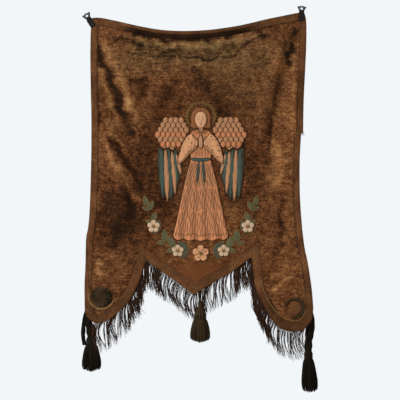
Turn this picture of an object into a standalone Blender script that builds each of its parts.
"""A church banner of worn brown velvet, hanging from two spring clips.

The cloth hangs in the XZ plane. X runs to the viewer's right, Z is up, and -Y faces the
viewer. The origin is midway between the nail holes of the two clips. Tables are in
millimetres, in that frame, and MM turns them into the scene's metres.
"""

import math
import random

import bmesh
import bpy
import numpy as np
from mathutils import Matrix
from mathutils.geometry import delaunay_2d_cdt

MM = 0.001

# The cloth and what is sewn flat on it
VELVET_THICK = 2.0
BAND_THICK = 1.2
SEWN_GAP = 0.4
FREE_GAP = 0.6
SIDE_BAND = 24.0
TOP_BAND = 28.0
TOP_BAND_RUN = (-318.0, 350.0)
LOBE_BAND = 31.0
OUTLINE_STEP = 24.0
LATTICE_STEP = 31.0

# How far the cloth stands in front of the plane of the clips
HANG_FORWARD = 12.0
CLIP_HOLD = 26.0
CLIP_FREE = 120.0
STIFF_FADE = 55.0

# Outer edge of the cloth, (x, z), each stretch ending where the next one starts
TOP_EDGE = [
    (-346, -19), (-318, -20), (-267, -31), (-185, -50), (-104, -63), (-22, -66),
    (60, -61), (155, -47), (250, -25), (331, -7), (374, 1),
]
RIGHT_EDGE_UPPER = [
    (374, 1), (381, -27), (382, -75), (378, -177), (372, -299), (370, -411),
]
RIGHT_EDGE_LOWER = [
    (363, -416), (361, -450), (358, -520), (359, -622), (365, -714), (374, -796),
    (387, -860), (399, -942), (404, -1006),
]
RIGHT_LOBE = [
    (404, -1006), (400, -1042), (384, -1067), (359, -1083), (325, -1086), (286, -1072),
    (263, -1046), (233, -996), (209, -942), (200, -884), (194, -835),
]
POINT_RIGHT = [(194, -835), (121, -890), (54, -928), (-3, -963)]
POINT_LEFT = [(-3, -963), (-36, -937), (-97, -893), (-165, -845)]
LEFT_LOBE = [
    (-165, -845), (-173, -870), (-189, -921), (-219, -979), (-255, -1019), (-294, -1049),
    (-330, -1059), (-359, -1043), (-370, -1024), (-372, -1006),
]
LEFT_EDGE = [
    (-372, -1006), (-373, -928), (-370, -864), (-368, -775), (-361, -734), (-356, -677),
    (-352, -558), (-350, -435), (-350, -333), (-353, -204), (-353, -68), (-346, -19),
]

# The embroidery stiffens this area, which hangs flat
STIFF_AREA = [
    (-125, -285), (170, -285), (178, -600), (246, -640), (242, -800), (190, -856),
    (-3, -985), (-165, -866), (-207, -800), (-207, -640), (-134, -600),
]

# Soft folds: a line from (x0, z0) to (x1, z1), bowed down by sag, that stands proud by height
FOLD_COLUMNS = ("x0", "z0", "x1", "z1", "sag", "half_width", "height")
FOLDS = {
    "left drag trough": (-330, -110, -212, -450, 0, 24, -10),
    "left drag shoulder": (-285, -120, -172, -420, 0, 36, 8),
    "left drag ridge": (-338, -290, -212, -680, 0, 24, 10),
    "left edge hollow": (-335, -470, -300, -790, 0, 30, -7),
    "right drag trough": (342, -100, 262, -430, 0, 22, -9),
    "right drag shoulder": (300, -85, 222, -400, 0, 32, 8),
    "right edge ridge": (345, -230, 325, -660, 0, 26, 6),
    "right low hollow": (318, -640, 286, -900, 0, 32, -5),
    "swag roll": (-235, -84, 262, -72, 32, 20, 9),
    "swag crease": (-200, -118, 210, -108, 32, 15, -6),
    "second swag": (-170, -160, 190, -150, 30, 30, 5),
    "left lobe curl": (-300, -1075, -250, -1060, 0, 105, 15),
    "right lobe curl": (300, -1100, 365, -1090, 0, 115, 15),
    "left lobe hollow": (-285, -800, -275, -985, 0, 28, -6),
    "right lobe ridge": (300, -900, 312, -1050, 0, 30, 5),
}

# Scroll ornaments low on the lobes: centre, radii, and the arc of the curl in degrees
SCROLL_THICK = 3.5
ORNAMENT_GAP = 0.9
ORNAMENT_GRID = 18.0
LEFT_SCROLL = {"x": -315, "z": -969, "disc": 35, "ring": 46, "start": 165, "end": 345}
RIGHT_SCROLL = {"x": 340, "z": -1007, "disc": 23, "ring": 35, "start": -112, "end": 165}

# Fringe: strands hang from a header tape behind the edge
STRAND_PITCH = 5.4
STRAND_LENGTH = 96.0
STRAND_WIDE = 2.6
STRAND_THICK = 1.2
STRAND_CLEAR = 1.0
HEADER_DEEP = 9.0
HEADER_THICK = 1.2
HEADER_GAP = 1.2

# Tassels: top of the neck, lengths, radii, and the lean of the skirt's foot
TASSEL_LOCKS = 12
TASSELS = {
    "left": {
        "x": -350, "y": -11.5, "z": -1064, "head": 70, "neck": 12, "knob": 18, "skirt": 88,
        "mouth": 32, "lean": 1, "flat": 0.45,
    },
    "centre": {
        "x": 20, "y": -33, "z": -980, "head": 65, "neck": 7, "knob": 23, "skirt": 78,
        "mouth": 34, "lean": 0, "flat": 0.62,
    },
    "right": {
        "x": 388, "y": -11, "z": -1112, "head": 70, "neck": 11, "knob": 17, "skirt": 110,
        "mouth": 27, "lean": 5, "flat": 0.50,
    },
}

# Cords that carry the tassels, from behind the cloth: radius, and the route as (x, y, z)
CORDS = {
    "tassel_cord_left": (7.0, [
        (-358, -10, -1010), (-356, -10, -1024), (-353, -10.5, -1040), (-350, -11.5, -1063),
    ]),
    "tassel_loop_left": (6.0, [
        (-373, -11, -1018), (-376, -11, -1040), (-380, -10, -1064), (-381, -10, -1092),
        (-380, -10, -1112), (-378, -10, -1124), (-376, -10, -1131),
    ]),
    "tassel_cord_right": (8.0, [
        (388, -13, -1028), (389, -12, -1048), (389, -11, -1078), (388, -11, -1111),
    ]),
    "tassel_loop_right": (5.0, [
        (402, -12, -1024), (404, -11, -1044), (405, -10, -1066), (404, -9, -1088),
        (402, -9, -1109),
    ]),
    "tassel_cord_centre": (3.2, [
        (16, -6, -944), (16, -6, -957), (17, -12, -964), (19, -26, -969), (20, -32, -975.5),
    ]),
}

# Spring clips: the jaw bites the corner, the head flares and carries a nail hole
CLIP_PLATE = 2.4
JAW_WIDE = 21.0
JAW_TALL = 33.0
WAIST_WIDE = 17.0
WAIST_TALL = 5.0
HEAD_WIDE = 31.0
HEAD_TALL = 14.0
NAIL_HOLE = 4.0
RING_WIRE = 1.2
RING_WIDE = 8.2
RING_TALL = 6.8
CLIPS = {
    "left": {"x": -342.03, "z": -50.23, "turn": 33.0},
    "right": {"x": 363.4, "z": -32.4, "turn": -4.0},
}

# The embroidered figure: its own frame has x from its centre line and z up from its hem
FIGURE_X = 22.0
FIGURE_Z = -772.0
LAYER_THICK = 2.5
LAYER_GAP = 0.4
HALF_OUTLINES = {
    "gown": [
        (0, 374), (9, 372), (31, 365), (45, 352), (47, 330), (40, 300), (33, 271), (44, 234),
        (58, 178), (72, 110), (84, 52), (96, 6), (78, -7), (58, 0), (40, -9), (20, -2), (0, -10),
    ],
    "hair": [
        (0, 447), (17, 444), (30, 431), (35, 411), (33, 392), (36, 378), (24, 375), (0, 375.5),
    ],
    "face": [
        (0, 433), (11, 430), (19, 419), (21, 404), (18, 390), (11, 380), (8, 374), (9, 364),
        (0, 360),
    ],
    "hands": [(0, 354), (4.5, 346), (7, 333), (7, 318), (4.5, 309), (0, 307)],
    "sash": [
        (0, 273), (33, 277), (34, 266), (11, 262), (17, 196), (9, 186), (3, 262), (0, 262),
    ],
}
SIDE_OUTLINES = {
    "sleeve": [
        (29, 360), (48, 350), (63, 324), (73, 294), (80, 258), (66, 254), (46, 278), (26, 298),
        (10, 311), (8.6, 336), (16, 341), (25, 347),
    ],
    "wing_top": [
        (49, 352), (40, 371), (56, 399), (84, 416), (114, 410), (135, 388), (145, 354),
        (142, 318), (127, 303), (110, 313), (97, 298), (87, 308),
    ],
    "wing_feathers": [
        (143, 313), (148, 268), (145, 212), (137, 164), (127, 132), (121, 152), (112, 118),
        (106, 144), (97, 126), (92, 156), (84, 146), (80, 178), (77, 178), (68, 222), (60, 246),
        (68, 248), (85, 252), (79, 296), (87, 303), (97, 293), (110, 308), (127, 298),
    ],
}
FIGURE_FINISHES = {
    "gown": ("copper silk", 0), "hair": ("gold thread", 0), "face": ("skin silk", 1),
    "hands": ("skin silk", 1), "sash": ("teal silk", 1), "sleeve": ("peach silk", 1),
    "wing_top": ("peach silk", 0), "wing_feathers": ("teal silk", 0),
}
NIMBUS = {"z": 414, "inner": 44, "outer": 50, "start": -32, "end": 212}
FLOWERS = {
    "flower_centre": (0, -50, 27),
    "flower_low_right": (78, -41, 20),
    "flower_high_right": (160, 42, 21),
    "flower_low_left": (-78, -41, 20),
    "flower_high_left": (-160, 42, 21),
}
BRANCH_STEM = [(34, -48), (74, -43), (116, -20), (150, 22), (172, 68), (184, 114)]
LOW_LEAVES = 0.62
LEAF_COUNT = 6
LEAF_LONG = 54.0
LEAF_WIDE = 26.0
LEAF_LEAN = 0.72
STEM_WIDE = 6.0
STEM_STEP = 9.0

COLOURS = {
    "velvet": ((0.105, 0.052, 0.024), 0.95, 0.0),
    "galloon": ((0.13, 0.058, 0.026), 0.7, 0.0),
    "dark silk": ((0.025, 0.024, 0.014), 0.8, 0.0),
    "bullion": ((0.022, 0.014, 0.010), 0.75, 0.0),
    "copper silk": ((0.42, 0.20, 0.10), 0.6, 0.0),
    "peach silk": ((0.50, 0.30, 0.20), 0.6, 0.0),
    "skin silk": ((0.62, 0.45, 0.34), 0.7, 0.0),
    "gold thread": ((0.36, 0.26, 0.12), 0.45, 0.3),
    "leaf silk": ((0.13, 0.15, 0.09), 0.7, 0.0),
    "teal silk": ((0.05, 0.09, 0.09), 0.7, 0.0),
    "black plastic": ((0.012, 0.012, 0.013), 0.45, 0.0),
    "steel": ((0.55, 0.55, 0.56), 0.3, 1.0),
}


def material(name):
    """The named finish, made once."""
    found = bpy.data.materials.get(name)
    if found:
        return found
    colour, roughness, metallic = COLOURS[name]
    made = bpy.data.materials.new(name)
    made.use_nodes = True
    shader = made.node_tree.nodes["Principled BSDF"]
    shader.inputs["Base Color"].default_value = (*colour, 1.0)
    shader.inputs["Roughness"].default_value = roughness
    shader.inputs["Metallic"].default_value = metallic
    return made


def finished(name, mesh, finish, location=(0, 0, 0), turn=0.0):
    """A named object from a bmesh whose points are in millimetres, with its faces outwards."""
    bmesh.ops.recalc_face_normals(mesh, faces=mesh.faces)
    for vertex in mesh.verts:
        vertex.co *= MM
    data = bpy.data.meshes.new(name)
    mesh.to_mesh(data)
    mesh.free()
    data.materials.append(material(finish))
    made = bpy.data.objects.new(name, data)
    made.location = [c * MM for c in location]
    made.rotation_euler = (0.0, math.radians(turn), 0.0)
    bpy.context.scene.collection.objects.link(made)
    return made


def smooth_line(points, step):
    """Points about a step apart on the Catmull-Rom curve through the given ones."""
    p = np.array(points, float)
    p = np.vstack([2 * p[0] - p[1], p, 2 * p[-1] - p[-2]])
    line = []
    for a, b, c, d in zip(p, p[1:], p[2:], p[3:]):
        count = max(1, round(float(np.linalg.norm(c - b)) / step))
        for t in np.arange(count) / count:
            line.append(
                0.5 * (2 * b + (c - a) * t + (2 * a - 5 * b + 4 * c - d) * t**2
                       + (3 * b - a - 3 * c + d) * t**3)
            )
    line.append(p[-2])
    return np.array(line)


def straight_line(points, step):
    """Points about a step apart on the straight runs between the given ones."""
    line = []
    for a, b in zip(np.array(points, float), np.array(points[1:], float)):
        count = max(1, round(float(np.linalg.norm(b - a)) / step))
        line.extend(a + (b - a) * t for t in np.arange(count) / count)
    line.append(np.array(points[-1], float))
    return np.array(line)


def inset_line(line, distance, before=None, after=None):
    """The line moved sideways, to the right of its own direction, with mitred corners.

    The points before and after it, where given, set the mitres of its two ends.
    """
    first, last = before is not None, after is not None
    line = np.vstack(([before] if first else []) + [line] + ([after] if last else []))
    steps = np.diff(line, axis=0)
    steps /= np.linalg.norm(steps, axis=1)[:, None]
    sides = np.column_stack([steps[:, 1], -steps[:, 0]])
    arriving = np.vstack([sides[:1], sides])
    leaving = np.vstack([sides, sides[-1:]])
    middle = arriving + leaving
    middle /= np.linalg.norm(middle, axis=1)[:, None]
    stretch = np.clip((middle * leaving).sum(1), 0.5, 1.0)
    moved = line + middle * (distance / stretch)[:, None]
    return moved[first:len(moved) - last]


def distance_to_line(x, z, line):
    """How far each point lies from a line of points."""
    best = np.full(np.shape(x), 1e9)
    for (ax, az), (bx, bz) in zip(line, line[1:]):
        dx, dz = bx - ax, bz - az
        share = np.clip(((x - ax) * dx + (z - az) * dz) / (dx * dx + dz * dz), 0, 1)
        best = np.minimum(best, np.hypot(x - ax - share * dx, z - az - share * dz))
    return best


def inside(x, z, outline):
    """Whether each point lies inside a closed outline."""
    found = np.zeros(np.shape(x), bool)
    for (ax, az), (bx, bz) in zip(outline, outline[1:] + outline[:1]):
        if az != bz:
            crosses = (az > z) != (bz > z)
            found ^= crosses & (x < (bx - ax) * (z - az) / (bz - az) + ax)
    return found


def smooth_step(value):
    """0 below 0, 1 above 1, and a soft rise between."""
    t = np.clip(value, 0, 1)
    return t * t * (3 - 2 * t)


def fold_line(fold):
    """A fold's crest as a short line, bowed down in its middle."""
    t = np.linspace(0, 1, 7)
    x = fold["x0"] + (fold["x1"] - fold["x0"]) * t
    z = fold["z0"] + (fold["z1"] - fold["z0"]) * t - fold["sag"] * 4 * t * (1 - t)
    return list(zip(x, z))


def forward(x, z):
    """How far in front of the plane of the clips the cloth's middle lies, in millimetres."""
    x, z = np.asarray(x, float), np.asarray(z, float)
    folds = np.zeros(np.shape(x))
    for row in FOLDS.values():
        fold = dict(zip(FOLD_COLUMNS, row))
        away = distance_to_line(x, z, fold_line(fold)) / fold["half_width"]
        folds += fold["height"] * np.exp(-away * away)
    ring = STIFF_AREA + STIFF_AREA[:1]
    outside = np.where(inside(x, z, STIFF_AREA), 0, distance_to_line(x, z, ring))
    out = HANG_FORWARD + folds * smooth_step(outside / STIFF_FADE)
    for clip in CLIPS.values():
        grip_x, grip_z = clip_point(clip, 0, JAW_TALL / 2)
        away = np.hypot(x - grip_x, z - grip_z)
        out = out * smooth_step((away - CLIP_HOLD) / (CLIP_FREE - CLIP_HOLD))
    return out


def clip_point(clip, across, along):
    """Where a point of a clip's own frame lies, as (x, z)."""
    turn = math.radians(clip["turn"])
    return (
        clip["x"] + across * math.cos(turn) - along * math.sin(turn),
        clip["z"] + across * math.sin(turn) + along * math.cos(turn),
    )


def cloth_outlines():
    """The closed outlines of the cloth and its bands, by name, as arrays of (x, z)."""
    edges = {
        "top": smooth_line(TOP_EDGE, OUTLINE_STEP),
        "right_upper": smooth_line(RIGHT_EDGE_UPPER, OUTLINE_STEP),
        "right_lower": smooth_line(RIGHT_EDGE_LOWER, OUTLINE_STEP),
        "right_lobe": smooth_line(RIGHT_LOBE, OUTLINE_STEP),
        "point_right": straight_line(POINT_RIGHT, OUTLINE_STEP),
        "point_left": straight_line(POINT_LEFT, OUTLINE_STEP),
        "left_lobe": smooth_line(LEFT_LOBE, OUTLINE_STEP),
        "left": smooth_line(LEFT_EDGE, OUTLINE_STEP),
    }
    order = (
        "top", "right_upper", "right_lower", "right_lobe", "point_right", "point_left",
        "left_lobe", "left",
    )
    ground = []
    for name in order:
        for point in edges[name]:
            if not ground or np.linalg.norm(point - ground[-1]) > 0.5:
                ground.append(point)
    ground.pop()

    # The lower bands share mitred corners, so their inner edges come from one line
    low = np.vstack([
        edges["right_lobe"], edges["point_right"][1:], edges["point_left"][1:],
        edges["left_lobe"][1:],
    ])
    low_inner = inset_line(
        low, LOBE_BAND, before=edges["right_lower"][-2], after=edges["left"][1]
    )
    counts = [len(edges["right_lobe"])]
    for name in ("point_right", "point_left", "left_lobe"):
        counts.append(counts[-1] + len(edges[name]) - 1)
    outlines = {"ground_panel": np.array(ground)}
    first = 0
    for name, last in zip(
        ("right_lobe_band", "point_band_right", "point_band_left", "left_lobe_band"), counts
    ):
        outer, inner = low[first:last].copy(), low_inner[first:last].copy()
        for line in (outer, inner):
            pull_back(line, SEWN_GAP / 2, SEWN_GAP / 2)
        outlines[name] = np.vstack([outer, inner[::-1]])
        first = last - 1

    top = between(edges["top"], *TOP_BAND_RUN)
    outlines["top_band"] = np.vstack([top, inset_line(top, TOP_BAND)[::-1]])
    for name, edge, before, after in (
        ("left_band", edges["left"], low[-2], None),
        ("right_band_upper", edges["right_upper"], None, None),
        ("right_band_lower", edges["right_lower"], None, low[1]),
    ):
        outer, inner = edge.copy(), inset_line(edge, SIDE_BAND, before, after)
        for line in (outer, inner):
            pull_back(line, SEWN_GAP / 2, SEWN_GAP / 2)
        outlines[name] = np.vstack([outer, inner[::-1]])
    return outlines


def between(line, start_x, end_x):
    """The part of a line between two values of X, cut exactly there."""
    middle = line[(line[:, 0] > start_x + 1) & (line[:, 0] < end_x - 1)]
    ends = [(x, np.interp(x, line[:, 0], line[:, 1])) for x in (start_x, end_x)]
    return np.vstack([ends[:1], middle, ends[1:]])


def signed_area(outline):
    """Twice the area of a closed outline, above 0 where it runs anticlockwise."""
    x, z = outline.T
    return float(np.sum(x * np.roll(z, -1) - np.roll(x, -1) * z))


def pull_back(line, start, end):
    """Shortens a line in place by these lengths at its two ends."""
    for index, neighbour, length in ((0, 1, start), (-1, -2, end)):
        along = line[neighbour] - line[index]
        line[index] += along / np.linalg.norm(along) * length


def lattice(outline):
    """Loose points inside the cloth, closer where it folds than where it hangs flat."""
    low, high = outline.min(0), outline.max(0)
    ring = [tuple(p) for p in outline]
    points = []
    rows = int((high[1] - low[1]) / (LATTICE_STEP * 0.87))
    for row in range(rows + 1):
        z = low[1] + row * LATTICE_STEP * 0.87
        shift = LATTICE_STEP / 2 * (row % 2)
        for x in np.arange(low[0] + shift, high[0], LATTICE_STEP):
            points.append((x, z))
    x, z = np.array(points).T
    near_edge = distance_to_line(x, z, ring + ring[:1])
    flat = inside(x, z, STIFF_AREA)
    keep = inside(x, z, ring) & (near_edge > LATTICE_STEP * 0.45) & ~flat
    return [points[i] for i in np.flatnonzero(keep)]


class ClothPattern:
    """The cloth and all its bands, triangulated as one pattern so that layers nest."""

    def __init__(self):
        outlines = cloth_outlines()
        points, edges, faces = [], [], []
        for outline in outlines.values():
            start = len(points)
            points.extend(tuple(p) for p in outline)
            faces.append(list(range(start, len(points))))
            if signed_area(outline) < 0:
                faces[-1].reverse()
        start = len(points)
        points.extend(STIFF_AREA)
        count = len(STIFF_AREA)
        edges.extend((start + i, start + (i + 1) % count) for i in range(count))
        points.extend(lattice(outlines["ground_panel"]))
        made = delaunay_2d_cdt(points, edges, faces, 0, 0.05, True)
        self.points = np.array([tuple(p) for p in made[0]])
        self.pieces = {
            name: [t for t, own in zip(made[2], made[5]) if index in own]
            for index, name in enumerate(outlines)
        }
        self.depths = forward(self.points[:, 0], self.points[:, 1])

    def depth(self, x, z):
        """How far forward the faceted cloth's middle lies at one point."""
        corners = np.array(self.pieces["ground_panel"])
        a, b, c = (self.points[corners[:, k]] for k in range(3))
        area = (b[:, 0] - a[:, 0]) * (c[:, 1] - a[:, 1]) - (c[:, 0] - a[:, 0]) * (b[:, 1] - a[:, 1])
        u = ((b[:, 0] - x) * (c[:, 1] - z) - (c[:, 0] - x) * (b[:, 1] - z)) / area
        v = ((c[:, 0] - x) * (a[:, 1] - z) - (a[:, 0] - x) * (c[:, 1] - z)) / area
        weights = np.column_stack([u, v, 1 - u - v])
        best = int(np.argmax(weights.min(1)))
        return float(weights[best] @ self.depths[corners[best]])


def sheet(name, points, depths, triangles, front, back, finish):
    """A closed sheet over some triangles, from front to back of the cloth's middle."""
    used = sorted({i for t in triangles for i in t})
    mesh = bmesh.new()
    faces = {}
    for side, offset in (("front", front), ("back", back)):
        faces[side] = {
            i: mesh.verts.new((points[i, 0], offset - depths[i], points[i, 1])) for i in used
        }
    borders = {}
    for t in triangles:
        mesh.faces.new([faces["front"][i] for i in t])
        mesh.faces.new([faces["back"][i] for i in reversed(t)])
        for a, b in zip(t, t[1:] + t[:1]):
            key = (min(a, b), max(a, b))
            borders[key] = None if key in borders else (a, b)
    for pair in borders.values():
        if pair:
            a, b = pair
            mesh.faces.new(
                [faces["front"][b], faces["front"][a], faces["back"][a], faces["back"][b]]
            )
    return finished(name, mesh, finish)


def arc(centre, radius, start, end, count):
    """Points on an arc, its angles in degrees from +X towards +Z."""
    return [
        (centre[0] + radius * math.cos(math.radians(a)),
         centre[1] + radius * math.sin(math.radians(a)))
        for a in np.linspace(start, end, count)
    ]


def curl(centre, inner, outer, start, end, count):
    """The closed outline of a curled strip that narrows to its two ends."""
    outside = arc(centre, outer, start, end, count)
    inside_line = []
    for k, a in enumerate(np.linspace(end, start, count)):
        slim = max(0.0, math.sin(math.pi * k / (count - 1))) ** 0.5
        radius = outer - 1.5 - (outer - inner - 1.5) * slim
        inside_line.extend(arc(centre, radius, a, a, 1))
    return outside + inside_line


def build_cloth(pattern):
    """The velvet ground and the bands sewn along its edges."""
    half = VELVET_THICK / 2
    band_back = -half - SEWN_GAP
    for name, triangles in pattern.pieces.items():
        if name == "ground_panel":
            front, back, finish = -half, half, "velvet"
        else:
            front, back, finish = band_back - BAND_THICK, band_back, "galloon"
        sheet(name, pattern.points, pattern.depths, triangles, front, back, finish)


def filled(outlines, spacing=None):
    """The points and triangles that fill the union of closed outlines."""
    points, faces = [], []
    for outline in outlines:
        start = len(points)
        points.extend(tuple(p) for p in outline)
        faces.append(list(range(start, len(points))))
        if signed_area(np.array(outline)) < 0:
            faces[-1].reverse()
    if spacing:
        points += grid_inside([tuple(p) for p in outlines[0]], spacing)
    made = delaunay_2d_cdt(points, [], faces, 0, 0.01, True)
    triangles = [t for t, own in zip(made[2], made[5]) if own]
    return np.array([tuple(p) for p in made[0]]), triangles


def grid_inside(ring, spacing):
    """Points of a square grid that lie well inside a closed outline."""
    low, high = np.min(ring, axis=0), np.max(ring, axis=0)
    x, z = np.meshgrid(
        np.arange(low[0], high[0], spacing), np.arange(low[1], high[1], spacing)
    )
    x, z = x.ravel(), z.ravel()
    keep = inside(x, z, ring) & (distance_to_line(x, z, ring + ring[:1]) > spacing / 3)
    return list(zip(x[keep], z[keep]))


def ornament(pattern, outline, name, finish, thick):
    """A small ornament laid over the bands of the curved cloth."""
    points, triangles = filled([outline], ORNAMENT_GRID)
    depths = [pattern.depth(x, z) for x, z in points]
    back = -VELVET_THICK / 2 - SEWN_GAP - BAND_THICK - ORNAMENT_GAP
    return sheet(name, points, depths, triangles, back - thick, back, finish)


def applique(name, outlines, number, finish):
    """A flat padded piece of the figure, in the layer with this number."""
    points, triangles = filled(outlines)
    points += (FIGURE_X, FIGURE_Z)
    back = -VELVET_THICK / 2 - LAYER_GAP - number * (LAYER_THICK + LAYER_GAP)
    depths = np.full(len(points), HANG_FORWARD)
    return sheet(name, points, depths, triangles, back - LAYER_THICK, back, finish)


def build_scrolls(pattern):
    """The curled ends of the border: a gathered disc on the left, an open curl on the right."""
    left, right = LEFT_SCROLL, RIGHT_SCROLL
    for side, scroll, disc_finish, ring_finish in (
        ("left", left, "dark silk", "galloon"), ("right", right, "galloon", "dark silk"),
    ):
        centre = (scroll["x"], scroll["z"])
        disc = arc(centre, scroll["disc"], 0, 360 - 360 / 20, 20)
        ornament(pattern, disc, f"scroll_disc_{side}", disc_finish, SCROLL_THICK)
        ring = curl(
            centre, scroll["disc"] + 1.2, scroll["ring"], scroll["start"], scroll["end"], 14
        )
        ornament(pattern, ring, f"scroll_ring_{side}", ring_finish, SCROLL_THICK * 0.7)


def leaf(base, along, long, wide):
    """A pointed leaf that starts at its base and runs along a direction."""
    across = np.array([-along[1], along[0]])
    profile = ((0.0, 0.18), (0.25, 0.42), (0.5, 0.5), (0.78, 0.3))
    one_side = [base + along * long * t + across * wide * w for t, w in profile]
    other_side = [base + along * long * t - across * wide * w for t, w in profile]
    return one_side + [base + along * long] + other_side[::-1]


def leafy_branch(side):
    """A stem, a leaf at its tip and leaves along both its sides, as closed outlines."""
    stem = smooth_line(BRANCH_STEM, STEM_STEP)
    steps = np.gradient(stem, axis=0)
    steps /= np.linalg.norm(steps, axis=1)[:, None]
    across = np.column_stack([-steps[:, 1], steps[:, 0]])
    strip = np.vstack([stem + across * STEM_WIDE / 2, (stem - across * STEM_WIDE / 2)[::-1]])
    outlines = [strip, leaf(stem[-1] - steps[-1] * 3, steps[-1], LEAF_LONG * 0.7, LEAF_WIDE * 0.7)]
    spots = np.linspace(1, len(stem) - 3, LEAF_COUNT).round().astype(int)
    for turn in (1, -1):
        for spot in spots:
            shrink = (1.0 - 0.3 * spot / len(stem)) * (1.0 if turn == 1 else LOW_LEAVES)
            lean = steps[spot] * LEAF_LEAN + across[spot] * turn * math.sqrt(1 - LEAF_LEAN**2)
            outlines.append(leaf(stem[spot], lean, LEAF_LONG * shrink, LEAF_WIDE * shrink))
    return [[(side * x, z) for x, z in outline] for outline in outlines]


def flower(x, z, radius):
    """A closed outline with five rounded petals."""
    angles = np.linspace(0, 2 * math.pi, 20, endpoint=False)
    reach = radius * (0.86 + 0.14 * np.cos(5 * angles))
    return list(zip(x + reach * np.sin(angles), z + reach * np.cos(angles)))


def build_figure():
    """A winged figure at prayer over two leafy branches, in layers of padded silk."""
    for name, half in HALF_OUTLINES.items():
        finish, number = FIGURE_FINISHES[name]
        applique(name, [half + [(-x, z) for x, z in half[::-1] if x > 0]], number, finish)
    for name, half in SIDE_OUTLINES.items():
        finish, number = FIGURE_FINISHES[name]
        for side, way in (("right", 1), ("left", -1)):
            applique(f"{name}_{side}", [[(way * x, z) for x, z in half]], number, finish)
    centre = (0, NIMBUS["z"])
    ring = arc(centre, NIMBUS["outer"], NIMBUS["start"], NIMBUS["end"], 22)
    ring += arc(centre, NIMBUS["inner"], NIMBUS["end"], NIMBUS["start"], 22)
    applique("nimbus", [ring], 0, "gold thread")
    for side, way in (("right", 1), ("left", -1)):
        applique(f"branch_{side}", leafy_branch(way), 0, "leaf silk")
    for name, (x, z, radius) in FLOWERS.items():
        number, finish = (0, "peach silk") if name == "flower_centre" else (1, "skin silk")
        applique(name, [flower(x, z, radius)], number, finish)


def strand_sway(x):
    """How far a strand's foot swings to the right, a slow wave along the fringe."""
    return 5.0 * math.sin(x / 46.0) + 3.0 * math.sin(x / 17.0 + 1.3)


def fringe_stations(edge, start_x, end_x):
    """Points along an edge for the header, at least a strand apart sideways."""
    line = edge[edge[:, 0].argsort()]
    steps = np.hypot(*np.diff(line, axis=0).T)
    along = np.concatenate([[0], np.cumsum(steps)])
    stations = [start_x]
    while stations[-1] < end_x:
        here = np.interp(stations[-1], line[:, 0], along)
        by_edge = np.interp(here + STRAND_PITCH, along, line[:, 0]) - stations[-1]
        stations.append(stations[-1] + max(by_edge, STRAND_WIDE + STRAND_CLEAR))
    return [(x, float(np.interp(x, line[:, 0], line[:, 1]))) for x in stations]


def fringe(pattern, name, edge, start_x, end_x, seed):
    """A header tape behind the cloth's edge and the strands that grow from its foot."""
    chance = random.Random(seed)
    near = VELVET_THICK / 2 + HEADER_GAP
    mesh = bmesh.new()
    rows = []
    for x, z in fringe_stations(edge, start_x, end_x):
        row = []
        for y, up in ((near, 0), (near + HEADER_THICK, 0), (near + HEADER_THICK, HEADER_DEEP),
                      (near, HEADER_DEEP)):
            row.append(mesh.verts.new((x, y - pattern.depth(x, z + up + 1), z + up + 1)))
        rows.append(row)
    for a, b in zip(rows, rows[1:]):
        for k in (1, 2, 3):
            n = (k + 1) % 4
            mesh.faces.new([a[k], a[n], b[n], b[k]])
        grow_strand(mesh, a, b, chance)
    mesh.faces.new(rows[0])
    mesh.faces.new(rows[-1][::-1])
    return finished(name, mesh, "bullion")


def grow_strand(mesh, a, b, chance):
    """One strand from the foot of the header between two of its stations."""
    root = [a[0], b[0], b[1], a[1]]
    left, right = a[0].co.copy(), b[0].co.copy()
    middle_x = (left.x + right.x) / 2
    middle_y = (a[0].co.y + a[1].co.y + b[0].co.y + b[1].co.y) / 4
    length = STRAND_LENGTH * chance.uniform(0.9, 1.06)
    spare = right.x - left.x - STRAND_WIDE
    sway = strand_sway(middle_x) + chance.uniform(-0.35, 0.35) * spare
    for share, size in ((0.14, 1.0), (1.0, 0.7)):
        x = middle_x + sway * share
        reach_x, reach_y = STRAND_WIDE / 2 * size, STRAND_THICK / 2 * size
        slant = (1 - 0.6 * share) * (right.z - left.z) / 2
        z = (left.z + right.z) / 2 - length * share
        corners = [(-1, -1), (1, -1), (1, 1), (-1, 1)]
        ring = [
            mesh.verts.new((x + reach_x * i, middle_y + reach_y * j, z + slant * i))
            for i, j in corners
        ]
        for i in range(4):
            j = (i + 1) % 4
            mesh.faces.new([root[i], root[j], ring[j], ring[i]])
        root = ring
    mesh.faces.new(root)


def tassel(name, size, seed):
    """A turned, bound head whose foot splits into the locks of the skirt."""
    chance = random.Random(seed)
    count = TASSEL_LOCKS
    head, neck, knob = size["head"], size["neck"], size["knob"]
    profile = [
        (neck * 0.7, 0), (neck, -head * 0.08), (neck * 1.15, -head * 0.35),
        (knob * 0.72, -head * 0.62), (knob, -head * 0.80), (knob * 1.02, -head * 0.92),
        (knob * 0.86, -head),
    ]
    mesh = bmesh.new()

    def ring(radius, z, shift=0.0):
        return [
            mesh.verts.new((
                size["x"] + shift + radius * math.cos(2 * math.pi * k / count),
                size["y"] + radius * size["flat"] * math.sin(2 * math.pi * k / count),
                size["z"] + z,
            ))
            for k in range(count)
        ]

    rows = [ring(radius, z) for radius, z in profile]
    inner = ring(knob * 0.40, -head)
    for low, high in zip(rows, rows[1:]):
        for i in range(count):
            j = (i + 1) % count
            mesh.faces.new([low[i], low[j], high[j], high[i]])
    mesh.faces.new(rows[0][::-1])
    mesh.faces.new(inner)
    for i in range(count):
        j = (i + 1) % count
        root = [rows[-1][i], rows[-1][j], inner[j], inner[i]]
        grow_lock(mesh, root, size, i, chance)
    return finished(name, mesh, "dark silk")


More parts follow.
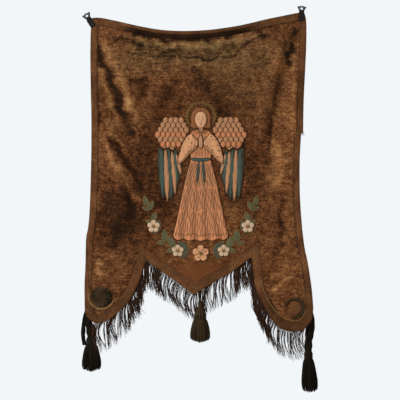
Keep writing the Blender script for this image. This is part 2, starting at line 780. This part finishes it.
def grow_lock(mesh, root, size, index, chance):
    """One lock of a tassel's skirt, hanging from the foot of the head."""
    length = size["skirt"] * chance.uniform(0.94, 1.0)
    mouth, knob = size["mouth"], size["knob"]
    middle = 2 * math.pi * (index + 0.5) / TASSEL_LOCKS
    half_turn = math.pi / TASSEL_LOCKS * 0.86
    for share, outer in ((0.45, (knob + mouth) * 0.52), (1.0, mouth)):
        inner = outer * 0.45
        z = size["z"] - size["head"] - length * share
        lean = size["lean"] * share
        corners = [
            (outer, middle - half_turn), (outer, middle + half_turn),
            (inner, middle + half_turn), (inner, middle - half_turn),
        ]
        ring = [
            mesh.verts.new((
                size["x"] + lean + radius * math.cos(a),
                size["y"] + radius * size["flat"] * math.sin(a), z,
            ))
            for radius, a in corners
        ]
        for i in range(4):
            j = (i + 1) % 4
            mesh.faces.new([root[i], root[j], ring[j], ring[i]])
        root = ring
    mesh.faces.new(root)


def cord(name, radius, route):
    """A plain tube along a smooth curve through the route's points."""
    line = smooth_line(route, 2.4 * radius)
    curve = bpy.data.curves.new(name, "CURVE")
    curve.dimensions = "3D"
    curve.bevel_depth = radius * MM
    curve.bevel_resolution = 2
    curve.use_fill_caps = True
    spline = curve.splines.new("POLY")
    spline.points.add(len(line) - 1)
    for point, (x, y, z) in zip(spline.points, line):
        point.co = (x * MM, y * MM, z * MM, 1.0)
    curve.materials.append(material("dark silk"))
    made = bpy.data.objects.new(name, curve)
    bpy.context.scene.collection.objects.link(made)
    return made


def clip_head_outline():
    """The outline of a clip's back plate: jaw, waist, and a head that flares to a round top."""
    jaw, waist, head = JAW_WIDE / 2, WAIST_WIDE / 2, HEAD_WIDE / 2
    waist_foot = JAW_TALL
    head_foot = JAW_TALL + WAIST_TALL
    top = head_foot + HEAD_TALL
    half = [
        (jaw, 0), (jaw, waist_foot - 4), (waist, waist_foot), (waist, head_foot - 2),
        (head - 3, top - 7), (head, top - 3), (head - 2, top), (0, top + 1.5),
    ]
    return half + [(-x, z) for x, z in half[-2::-1]]


def build_clip(side):
    """One spring clip: a back plate, a jaw that folds over the cloth's corner, and a ring."""
    clip = CLIPS[side]
    place = {"location": (clip["x"], 0, clip["z"]), "turn": -clip["turn"]}
    half_cloth = VELVET_THICK / 2
    plate_front = half_cloth + FREE_GAP
    plate_back = plate_front + CLIP_PLATE
    jaw_back = -half_cloth - SEWN_GAP - BAND_THICK - FREE_GAP
    jaw_front = jaw_back - CLIP_PLATE

    outline = clip_head_outline()
    mesh = bmesh.new()
    rows = [[mesh.verts.new((x, y, z)) for x, z in outline] for y in (plate_front, plate_back)]
    for i in range(len(outline)):
        j = (i + 1) % len(outline)
        mesh.faces.new([rows[0][i], rows[0][j], rows[1][j], rows[1][i]])
    mesh.faces.new(rows[0])
    mesh.faces.new(rows[1][::-1])
    back = finished(f"clip_plate_{side}", mesh, "black plastic", **place)

    hole_z = JAW_TALL + WAIST_TALL + HEAD_TALL / 2
    mesh = bmesh.new()
    bmesh.ops.create_cone(
        mesh, cap_ends=True, segments=24, radius1=NAIL_HOLE, radius2=NAIL_HOLE, depth=20,
        matrix=Matrix.Translation((0, plate_front, hole_z)) @ Matrix.Rotation(math.pi / 2, 4, "X"),
    )
    cutter = finished(f"nail_hole_{side}", mesh, "steel", **place)
    cutter.hide_render = True
    cutter.display_type = "WIRE"
    hole = back.modifiers.new("nail hole", "BOOLEAN")
    hole.operation = "DIFFERENCE"
    hole.object = cutter

    # The jaw's section, seen from the side: down the front, with a foot that reaches back
    section = [
        (jaw_front, 1.5), (jaw_back, 1.5), (jaw_back, JAW_TALL + 2.2),
        (plate_front - FREE_GAP / 2, JAW_TALL + 2.2),
        (plate_front - FREE_GAP / 2, JAW_TALL + WAIST_TALL), (jaw_back, JAW_TALL + WAIST_TALL),
        (jaw_front, JAW_TALL + WAIST_TALL * 0.6),
    ]
    mesh = bmesh.new()
    rows = [
        [mesh.verts.new((x, y, z)) for y, z in section] for x in (-WAIST_WIDE / 2, WAIST_WIDE / 2)
    ]
    for i in range(len(section)):
        j = (i + 1) % len(section)
        mesh.faces.new([rows[0][i], rows[0][j], rows[1][j], rows[1][i]])
    mesh.faces.new(rows[0])
    mesh.faces.new(rows[1][::-1])
    bmesh.ops.triangulate(mesh, faces=[f for f in mesh.faces if len(f.verts) > 4])
    finished(f"clip_jaw_{side}", mesh, "black plastic", **place)

    ring_y = plate_front - FREE_GAP / 2 - RING_WIRE
    wire_ring(f"clip_ring_{side}", (0, ring_y, hole_z + 1.5), place)


def wire_ring(name, centre, place):
    """A closed steel wire loop in a plane of constant y, longer than it is wide."""
    mesh = bmesh.new()
    around, sides = 20, 6
    rows = []
    for k in range(around):
        a = 2 * math.pi * k / around
        middle_x = centre[0] + RING_WIDE * math.cos(a)
        middle_z = centre[2] + RING_TALL * math.sin(a)
        out = (math.cos(a) / RING_WIDE, math.sin(a) / RING_TALL)
        length = math.hypot(*out)
        row = []
        for s in range(sides):
            b = 2 * math.pi * s / sides
            reach = RING_WIRE * math.cos(b) / length
            row.append(mesh.verts.new((
                middle_x + out[0] * reach, centre[1] + RING_WIRE * math.sin(b),
                middle_z + out[1] * reach,
            )))
        rows.append(row)
    for k in range(around):
        row, after = rows[k], rows[(k + 1) % around]
        for s in range(sides):
            n = (s + 1) % sides
            mesh.faces.new([row[s], row[n], after[n], after[s]])
    return finished(name, mesh, "steel", **place)


def fringe_runs():
    """Each fringe's edge of the cloth and where along X it starts and ends."""
    point = straight_line(POINT_RIGHT + POINT_LEFT[1:], OUTLINE_STEP)
    return {
        "fringe_left_lobe": (smooth_line(LEFT_LOBE[:8], OUTLINE_STEP), -340, -168),
        "fringe_point_left": (point, -161, 6),
        "fringe_point_right": (point, 26, 190),
        "fringe_right_lobe": (smooth_line(RIGHT_LOBE[2:], OUTLINE_STEP), 196, 380),
    }


def main():
    """Clears the scene and builds the banner."""
    for old in list(bpy.data.objects):
        bpy.data.objects.remove(old)
    pattern = ClothPattern()
    build_cloth(pattern)
    build_scrolls(pattern)
    build_figure()
    for seed, (name, (edge, start_x, end_x)) in enumerate(fringe_runs().items()):
        fringe(pattern, name, edge, start_x, end_x, seed)
    for seed, (side, size) in enumerate(TASSELS.items()):
        tassel(f"tassel_{side}", size, seed)
    for name, (radius, route) in CORDS.items():
        cord(name, radius, route)
    for side in CLIPS:
        build_clip(side)


main()
